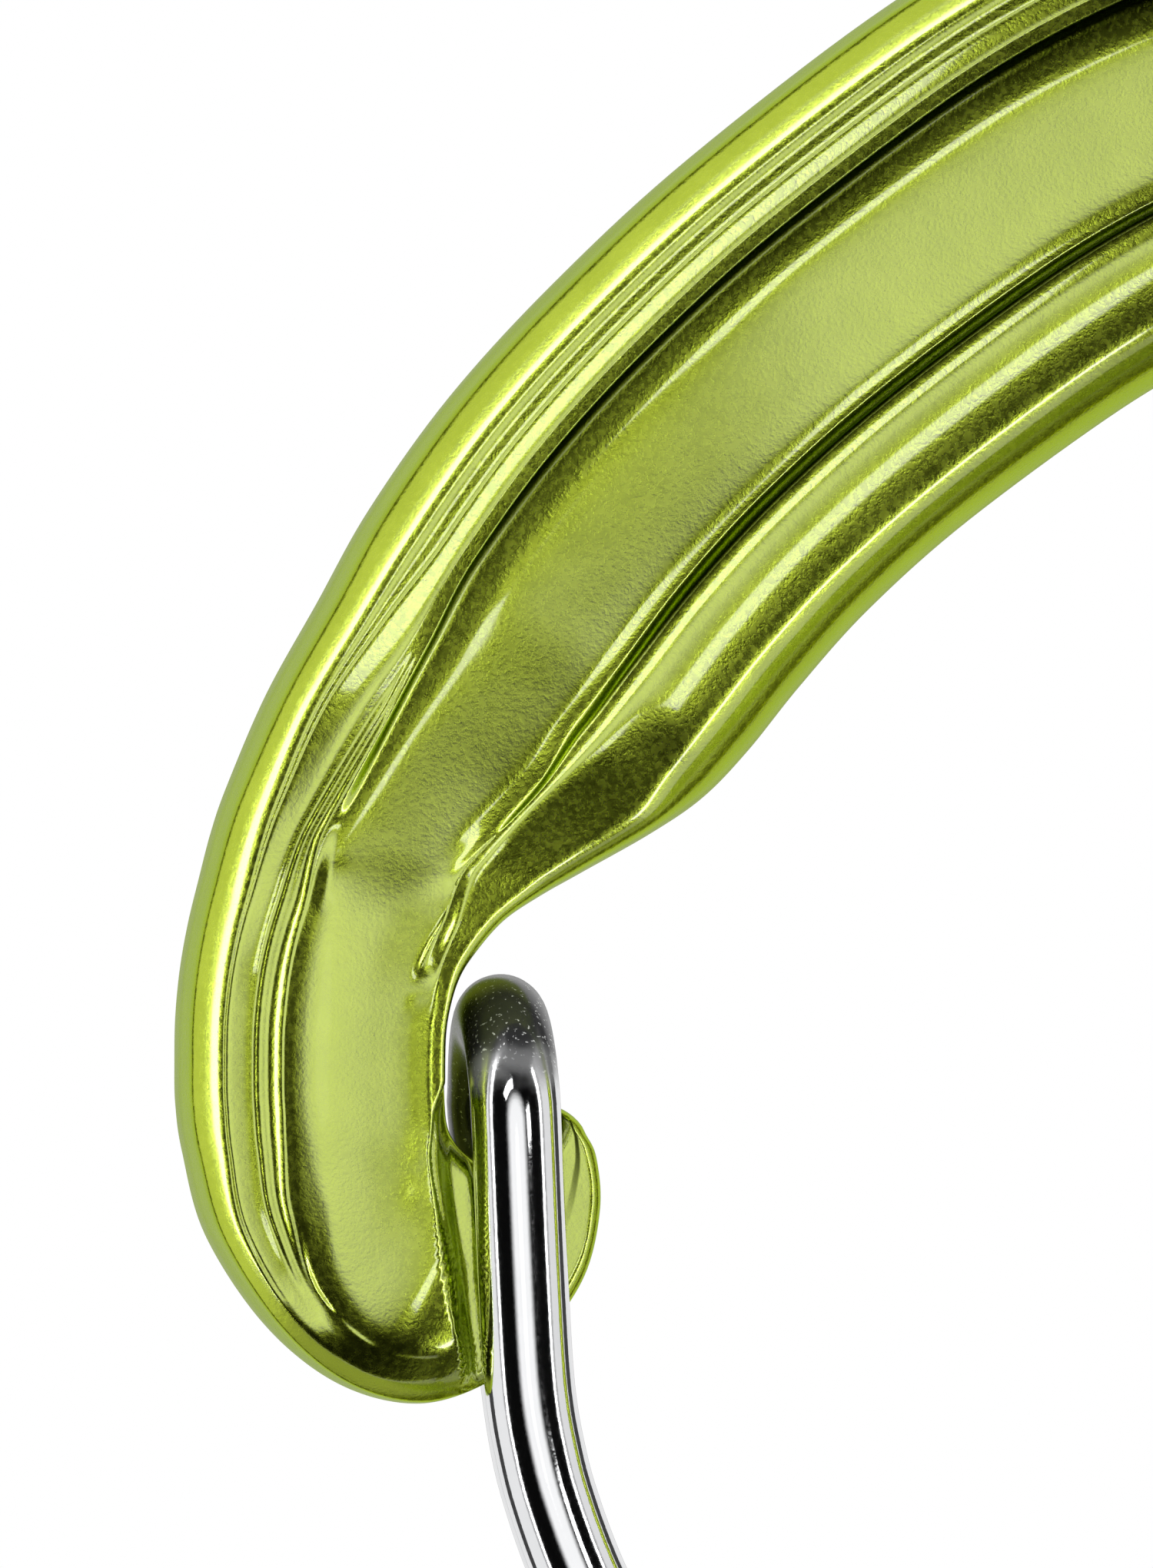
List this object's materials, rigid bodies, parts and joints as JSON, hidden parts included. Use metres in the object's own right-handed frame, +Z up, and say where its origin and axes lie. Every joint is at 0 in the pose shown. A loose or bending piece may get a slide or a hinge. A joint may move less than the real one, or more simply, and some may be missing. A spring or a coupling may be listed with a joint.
{
  "type": "climbing quickdraw",
  "caption": "Climbing quickdraw: forged wire-gate carabiners with sprung bent-wire gates at both ends of a sewn webbing sling with a rubber keeper.",
  "frame": {"origin": "the point of the upper carabiner's basket that the bolt hanger bears on, as the draw hangs", "axes": "+Z up along the draw, +X from the gates to the spines, +Y through the carabiners from front to back"},
  "size_m": [0.0525, 0.0142, 0.3105],
  "materials": {
    "anodised_body": "satin lime-green anodised, hot forged",
    "gate_wire": "polished stainless steel wire",
    "webbing": "woven polyamide, matt",
    "stitching": "bar-tacked thread",
    "keeper_rubber": "moulded rubber, matt",
    "woven_label": "blank woven label"
  },
  "bodies": {
    "upper_carabiner": {"upper_body": "anodised_body"},
    "upper_gate": {"upper_gate": "gate_wire"},
    "upper_eye": {"upper_loop": "webbing"},
    "upper_sling": {"upper_strap": "webbing", "label_band": "woven_label", "upper_bar_tack_1": "stitching", "upper_bar_tack_2": "stitching", "upper_bar_tack_3": "stitching", "upper_bar_tack_4": "stitching"},
    "lower_sling": {"lower_strap": "webbing", "lower_bar_tack_1": "stitching", "lower_bar_tack_2": "stitching", "lower_bar_tack_3": "stitching", "lower_bar_tack_4": "stitching"},
    "lower_carabiner": {"lower_body": "anodised_body", "lower_loop": "webbing", "keeper": "keeper_rubber"},
    "lower_gate": {"lower_gate": "gate_wire"}
  },
  "joints": [
    {"name": "upper_gate_hinge", "type": "hinge", "parent": "upper_carabiner", "child": "upper_gate", "pos_m": [-0.01775, 0, -0.0643], "axis": [0, 1, 0], "range_deg": [0, 40], "stiffness_Nm_per_rad": 0.3, "springref_deg": -20.05},
    {"name": "upper_eye_slide", "type": "hinge", "parent": "upper_carabiner", "child": "upper_eye", "pos_m": [-0.0025, 0, -0.0666], "axis": [0, 1, 0], "range_deg": [-25, 25]},
    {"name": "upper_flex", "type": "hinge", "parent": "upper_eye", "child": "upper_sling", "pos_m": [-0.0025, 0, -0.1015], "axis": [1, 0, 0], "range_deg": [-75, 75]},
    {"name": "sling_twist", "type": "hinge", "parent": "upper_sling", "child": "lower_sling", "pos_m": [-0.0025, 0, -0.14185], "axis": [0, 0, 1], "range_deg": [-60, 60], "stiffness_Nm_per_rad": 0.02},
    {"name": "lower_flex", "type": "hinge", "parent": "lower_sling", "child": "lower_carabiner", "pos_m": [-0.0025, 0, -0.1822], "axis": [1, 0, 0], "range_deg": [-60, 60]},
    {"name": "lower_gate_hinge", "type": "hinge", "parent": "lower_carabiner", "child": "lower_gate", "pos_m": [-0.01775, 0, -0.2194], "axis": [0, -1, 0], "range_deg": [0, 40], "stiffness_Nm_per_rad": 0.3, "springref_deg": -20.05}
  ]
}
